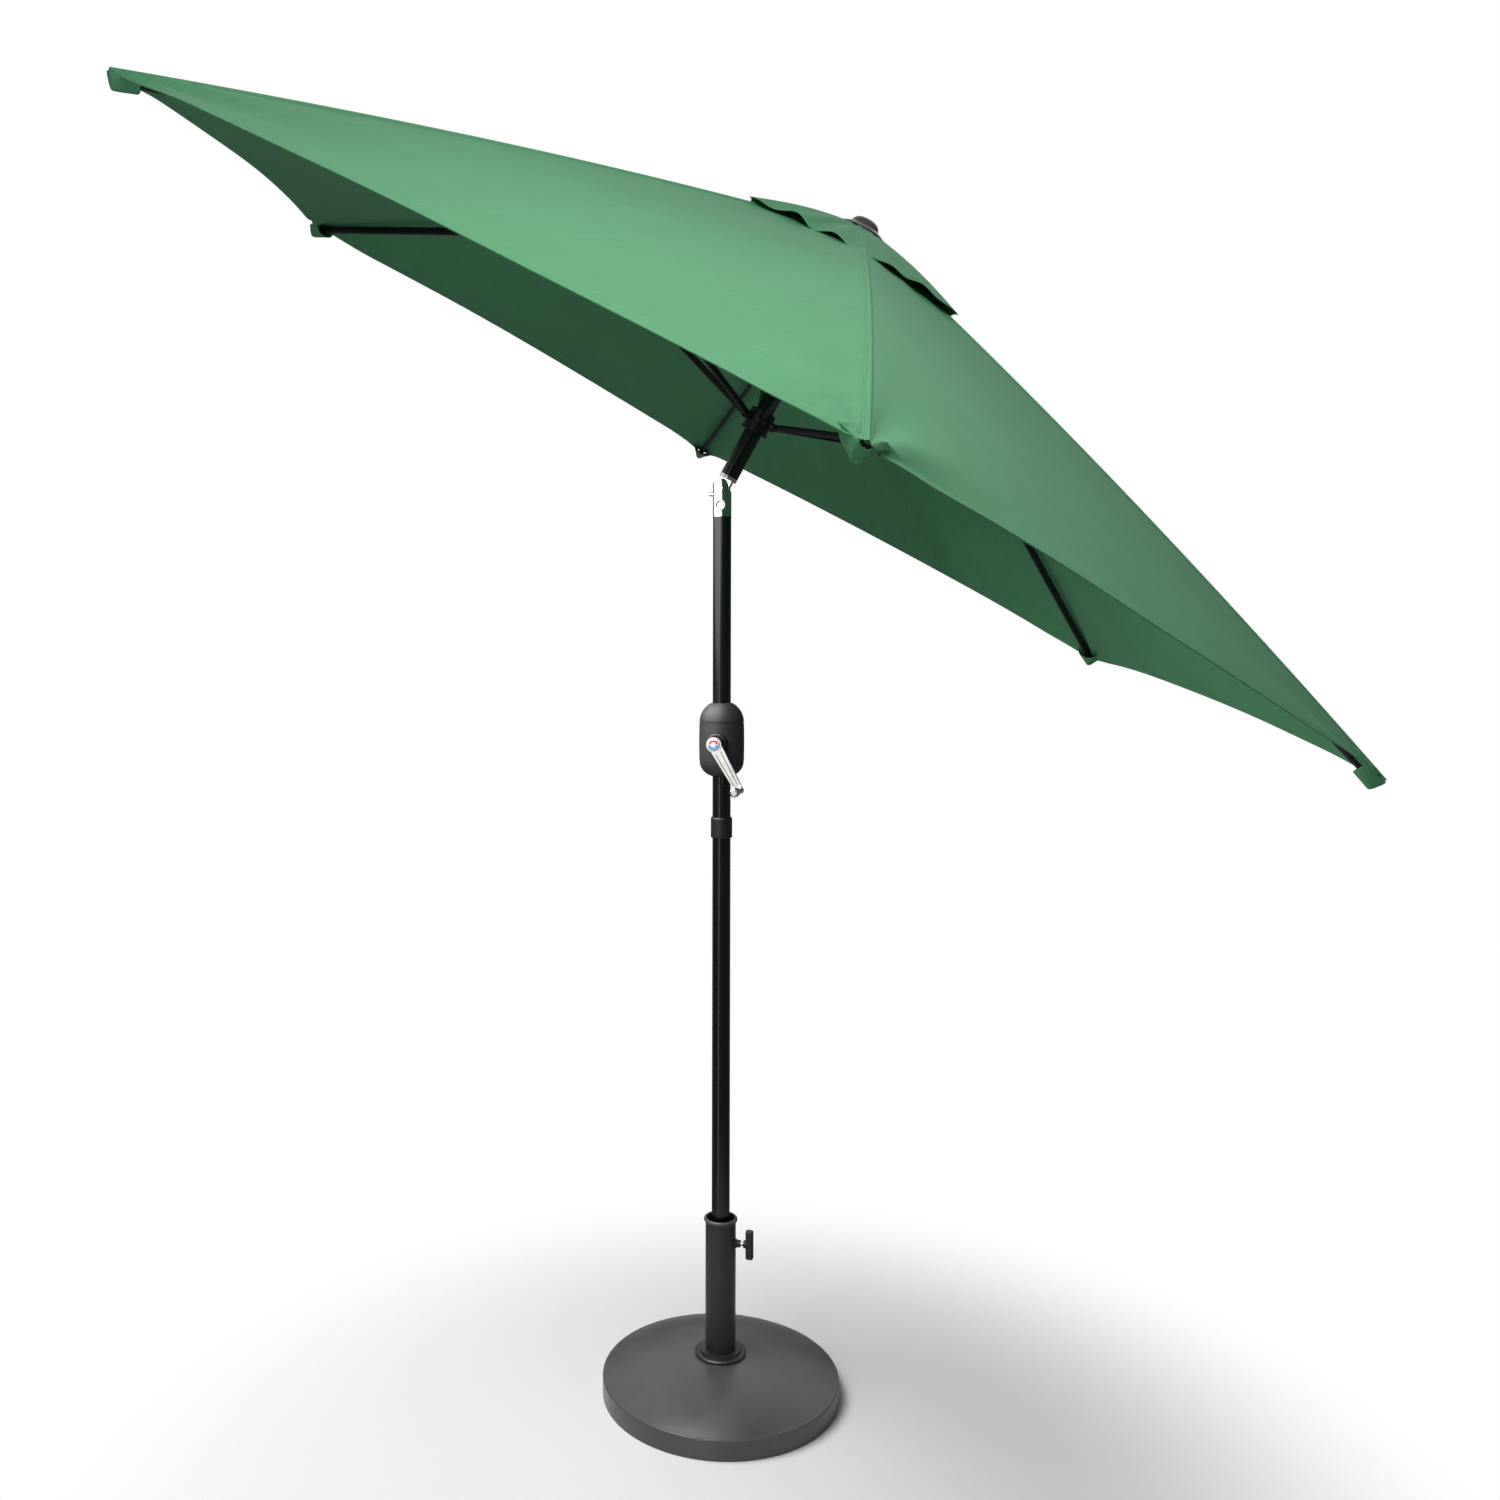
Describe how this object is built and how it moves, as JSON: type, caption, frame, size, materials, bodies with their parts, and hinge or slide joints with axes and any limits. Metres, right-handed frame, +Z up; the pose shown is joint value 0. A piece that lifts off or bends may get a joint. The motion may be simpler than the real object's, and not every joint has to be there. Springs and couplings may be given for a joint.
{
  "type": "patio umbrella with base",
  "caption": "Tilting crank-up garden umbrella: scalloped fabric canopy on folding ribs with a top vent tier, two-part pole with tilt knuckle, and a round weighted base with a screw clamp.",
  "frame": {"origin": "centre of the base's flat underside, on the pole's axis", "axes": "+Z up along the pole; +X the way that the canopy leans; -Y the side that the crank faces"},
  "size_m": [2.27, 2.5076, 2.6328],
  "materials": {
    "base_shell": "satin",
    "black_paint": "gloss",
    "black_plastic": "satin",
    "cap_plastic": "gloss",
    "chrome": "polished",
    "concrete": "matte",
    "finial_plastic": "gloss",
    "green_fabric": "matte",
    "housing_plastic": "matte",
    "steel": "satin",
    "stem_paint": "satin"
  },
  "bodies": {
    "base": {"base_cover": "base_shell", "base_ballast": "concrete", "stem_flange": "stem_paint", "stem_tube": "stem_paint", "stem_rim": "stem_paint", "stem_bush": "black_plastic", "stem_foot": "black_plastic", "clamp_boss": "black_plastic"},
    "clamp_stud": {"clamp_stud": "steel"},
    "clamp_knob": {"clamp_knob": "black_plastic"},
    "lower_pole": {"lower_pole": "black_paint", "pole_collar": "black_plastic"},
    "upper_pole": {"upper_pole": "black_paint", "housing_left": "housing_plastic", "housing_right": "housing_plastic", "housing_screws": "steel", "crank_bezel": "black_plastic", "knuckle_sleeve": "chrome", "knuckle_ring": "chrome", "knuckle_screw": "chrome", "tilt_pin": "chrome"},
    "crank": {"crank_shaft": "steel", "crank_arm": "chrome", "crank_cap": "cap_plastic"},
    "crank_knob": {"crank_knob": "chrome"},
    "tilt_button": {"tilt_button": "chrome"},
    "canopy_mast": {"knuckle_yoke": "chrome", "mast_tube": "black_paint", "crown_hub": "black_plastic", "crown_pins": "steel", "crown_patch": "green_fabric", "finial": "finial_plastic", "vent_flap": "green_fabric"},
    "runner": {"runner_body": "black_plastic", "runner_pins": "steel"},
    "rib_1": {"rib_1": "black_paint", "rib_fittings_1": "black_paint", "canopy_gore_1": "green_fabric"},
    "rib_2": {"rib_2": "black_paint", "rib_fittings_2": "black_paint", "canopy_gore_2": "green_fabric"},
    "rib_3": {"rib_3": "black_paint", "rib_fittings_3": "black_paint", "canopy_gore_3": "green_fabric"},
    "rib_4": {"rib_4": "black_paint", "rib_fittings_4": "black_paint", "canopy_gore_4": "green_fabric"},
    "rib_5": {"rib_5": "black_paint", "rib_fittings_5": "black_paint", "canopy_gore_5": "green_fabric"},
    "rib_6": {"rib_6": "black_paint", "rib_fittings_6": "black_paint", "canopy_gore_6": "green_fabric"},
    "stretcher_1": {"stretcher_1": "black_paint"},
    "stretcher_2": {"stretcher_2": "black_paint"},
    "stretcher_3": {"stretcher_3": "black_paint"},
    "stretcher_4": {"stretcher_4": "black_paint"},
    "stretcher_5": {"stretcher_5": "black_paint"},
    "stretcher_6": {"stretcher_6": "black_paint"}
  },
  "joints": [
    {"name": "pole_swivel", "type": "hinge", "parent": "base", "child": "lower_pole", "pos_m": [0, 0, 0.3], "axis": [0, 0, 1], "continuous": true},
    {"name": "clamp_screw_travel", "type": "slide", "parent": "base", "child": "clamp_stud", "axis": [1, 0, 0], "range_m": [0, 0.0025]},
    {"name": "clamp_knob_turn", "type": "hinge", "parent": "clamp_stud", "child": "clamp_knob", "pos_m": [0.06, 0, 0.321], "axis": [1, 0, 0], "range_deg": [0, 720]},
    {"name": "upper_pole_lift", "type": "slide", "parent": "lower_pole", "child": "upper_pole", "axis": [0, 0, 1], "range_m": [0, 0.12]},
    {"name": "crank_turn", "type": "hinge", "parent": "upper_pole", "child": "crank", "pos_m": [0, 0, 1.38], "axis": [0, -1, 0], "range_deg": [0, 412.5]},
    {"name": "crank_knob_spin", "type": "hinge", "parent": "crank", "child": "crank_knob", "pos_m": [0.0522, 0, 1.28774], "axis": [0, 1, 0], "continuous": true},
    {"name": "tilt_button_press", "type": "slide", "parent": "upper_pole", "child": "tilt_button", "axis": [1, 0, 0], "range_m": [0, 0.003], "stiffness_N_per_m": 800, "springref_m": -0.002},
    {"name": "canopy_tilt", "type": "hinge", "parent": "upper_pole", "child": "canopy_mast", "pos_m": [0, 0, 1.908], "axis": [0, 1, 0], "range_deg": [-29.5, 0]},
    {"name": "runner_slide", "type": "slide", "parent": "canopy_mast", "child": "runner", "axis": [0.4924, 0, 0.8704], "range_m": [-0.0905, 0]},
    {"name": "rib_1_hinge", "type": "hinge", "parent": "canopy_mast", "child": "rib_1", "pos_m": [0.30113, -0.00611, 2.37645], "axis": [0.1661, 0.9816, -0.094], "range_deg": [0, 4.3], "deforming": ["canopy_gore_1"]},
    {"name": "rib_2_hinge", "type": "hinge", "parent": "canopy_mast", "child": "rib_2", "pos_m": [0.29206, 0.02415, 2.38158], "axis": [-0.6569, 0.6561, 0.3716], "range_deg": [0, 4.3], "deforming": ["canopy_gore_2"]},
    {"name": "rib_3_hinge", "type": "hinge", "parent": "canopy_mast", "child": "rib_3", "pos_m": [0.26472, 0.03026, 2.39705], "axis": [-0.8229, -0.3256, 0.4656], "range_deg": [0, 4.3], "deforming": ["canopy_gore_3"]},
    {"name": "rib_4_hinge", "type": "hinge", "parent": "canopy_mast", "child": "rib_4", "pos_m": [0.24645, 0.00611, 2.40739], "axis": [-0.1661, -0.9816, 0.094], "range_deg": [0, 4.3], "deforming": ["canopy_gore_4"]},
    {"name": "rib_5_hinge", "type": "hinge", "parent": "canopy_mast", "child": "rib_5", "pos_m": [0.25551, -0.02415, 2.40226], "axis": [0.6569, -0.6561, -0.3716], "range_deg": [0, 4.3], "deforming": ["canopy_gore_5"]},
    {"name": "rib_6_hinge", "type": "hinge", "parent": "canopy_mast", "child": "rib_6", "pos_m": [0.28286, -0.03026, 2.38679], "axis": [0.8229, 0.3256, -0.4656], "range_deg": [0, 4.3], "deforming": ["canopy_gore_6"]},
    {"name": "stretcher_1_hinge", "type": "hinge", "parent": "runner", "child": "stretcher_1", "pos_m": [0.10685, -0.00649, 2.02908], "axis": [0.1661, 0.9816, -0.094], "range_deg": [-5.2, 0]},
    {"name": "stretcher_2_hinge", "type": "hinge", "parent": "runner", "child": "stretcher_2", "pos_m": [0.09722, 0.02566, 2.03453], "axis": [-0.6569, 0.6561, 0.3716], "range_deg": [-5.2, 0]},
    {"name": "stretcher_3_hinge", "type": "hinge", "parent": "runner", "child": "stretcher_3", "pos_m": [0.06817, 0.03215, 2.05097], "axis": [-0.8229, -0.3256, 0.4656], "range_deg": [-5.2, 0]},
    {"name": "stretcher_4_hinge", "type": "hinge", "parent": "runner", "child": "stretcher_4", "pos_m": [0.04875, 0.00649, 2.06195], "axis": [-0.1661, -0.9816, 0.094], "range_deg": [-5.2, 0]},
    {"name": "stretcher_5_hinge", "type": "hinge", "parent": "runner", "child": "stretcher_5", "pos_m": [0.05839, -0.02566, 2.0565], "axis": [0.6569, -0.6561, -0.3716], "range_deg": [-5.2, 0]},
    {"name": "stretcher_6_hinge", "type": "hinge", "parent": "runner", "child": "stretcher_6", "pos_m": [0.08744, -0.03215, 2.04006], "axis": [0.8229, 0.3256, -0.4656], "range_deg": [-5.2, 0]}
  ],
  "couplings": [
    {"joint": "clamp_screw_travel", "follows": "clamp_knob_turn", "m_per_rad": 0.00019894},
    {"joint": "runner_slide", "follows": "crank_turn", "m_per_rad": -0.012501},
    {"joint": "rib_1_hinge", "follows": "crank_turn", "ratio": 0.010326},
    {"joint": "stretcher_1_hinge", "follows": "crank_turn", "ratio": -0.012494},
    {"joint": "rib_2_hinge", "follows": "crank_turn", "ratio": 0.010326},
    {"joint": "stretcher_2_hinge", "follows": "crank_turn", "ratio": -0.012494},
    {"joint": "rib_3_hinge", "follows": "crank_turn", "ratio": 0.010326},
    {"joint": "stretcher_3_hinge", "follows": "crank_turn", "ratio": -0.012494},
    {"joint": "rib_4_hinge", "follows": "crank_turn", "ratio": 0.010326},
    {"joint": "stretcher_4_hinge", "follows": "crank_turn", "ratio": -0.012494},
    {"joint": "rib_5_hinge", "follows": "crank_turn", "ratio": 0.010326},
    {"joint": "stretcher_5_hinge", "follows": "crank_turn", "ratio": -0.012494},
    {"joint": "rib_6_hinge", "follows": "crank_turn", "ratio": 0.010326},
    {"joint": "stretcher_6_hinge", "follows": "crank_turn", "ratio": -0.012494}
  ]
}
